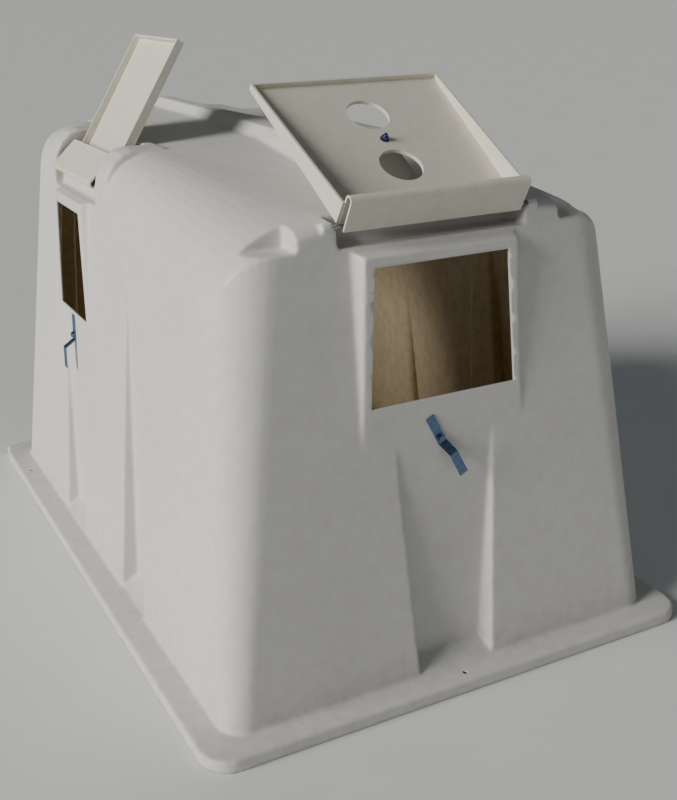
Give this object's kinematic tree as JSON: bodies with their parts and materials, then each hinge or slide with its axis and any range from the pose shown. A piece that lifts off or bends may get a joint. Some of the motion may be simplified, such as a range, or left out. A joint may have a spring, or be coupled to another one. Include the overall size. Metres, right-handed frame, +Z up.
{
  "type": "calf hutch",
  "caption": "Moulded calf hutch with an arched doorway, a ridge roof, two hinged hatch lids over window openings, turn-button latches and a rotating vent disc.",
  "frame": {"origin": "on the ground, at the centre of the base flange", "axes": "+Z up, +Y towards the calf's doorway, +X the side without a window"},
  "size_m": [1.22, 1.794, 1.3138],
  "materials": {
    "shell_plastic": "satin, lightly textured rotomoulded polyethylene",
    "lid_plastic": "satin natural polyethylene",
    "zinc_steel": "bright zinc plate",
    "rod_steel": "drawn bar"
  },
  "bodies": {
    "root": {"shell": "shell_plastic", "rear_latch_bolt": "zinc_steel", "rear_latch_washer_outer": "zinc_steel", "rear_latch_washer_inner": "zinc_steel", "rear_latch_nut": "zinc_steel", "side_latch_bolt": "zinc_steel", "side_latch_washer_outer": "zinc_steel", "side_latch_washer_inner": "zinc_steel", "side_latch_nut": "zinc_steel"},
    "rear_rod": {"rear_hinge_rod": "rod_steel"},
    "rear_lid": {"rear_lid": "lid_plastic", "vent_bolt": "zinc_steel", "vent_washer_outer": "zinc_steel", "vent_washer_inner": "zinc_steel", "vent_nut": "zinc_steel"},
    "vent_disc": {"vent_disc": "lid_plastic"},
    "side_rod": {"side_hinge_rod": "rod_steel"},
    "side_lid": {"side_lid": "lid_plastic"},
    "rear_latch": {"rear_latch": "zinc_steel"},
    "side_latch": {"side_latch": "zinc_steel"}
  },
  "joints": [
    {"name": "rear_lid_swing", "type": "hinge", "parent": "root", "child": "rear_rod", "pos_m": [0, -0.697, 1.003], "axis": [1, 0, 0], "range_deg": [0, 234.4]},
    {"name": "rear_lid_ride", "type": "slide", "parent": "rear_rod", "child": "rear_lid", "axis": [0, 0.5299, -0.848], "range_m": [0, 0.0631]},
    {"name": "vent_turn", "type": "hinge", "parent": "rear_lid", "child": "vent_disc", "pos_m": [0, -0.50478, 1.12555], "axis": [0, -0.5299, 0.848], "range_deg": [0, 90]},
    {"name": "side_lid_swing", "type": "hinge", "parent": "root", "child": "side_rod", "pos_m": [-0.432, 0.27, 1.013], "axis": [0, -1, 0], "range_deg": [0, 206.4]},
    {"name": "side_lid_ride", "type": "slide", "parent": "side_rod", "child": "side_lid", "axis": [0.7349, 0, 0.6782], "range_m": [0, 0.0301]},
    {"name": "rear_latch_turn", "type": "hinge", "parent": "root", "child": "rear_latch", "pos_m": [-0.014, -0.7649, 0.55], "axis": [0, -0.9984, 0.0559], "range_deg": [0, 153.2]},
    {"name": "side_latch_turn", "type": "hinge", "parent": "root", "child": "side_latch", "pos_m": [-0.49678, 0.27, 0.565], "axis": [-0.9996, 0, 0.0287], "range_deg": [0, 180]}
  ],
  "couplings": [
    {"joint": "rear_lid_ride", "follows": "rear_lid_swing", "m_per_rad": 0.0154},
    {"joint": "side_lid_ride", "follows": "side_lid_swing", "m_per_rad": 0.00833}
  ]
}
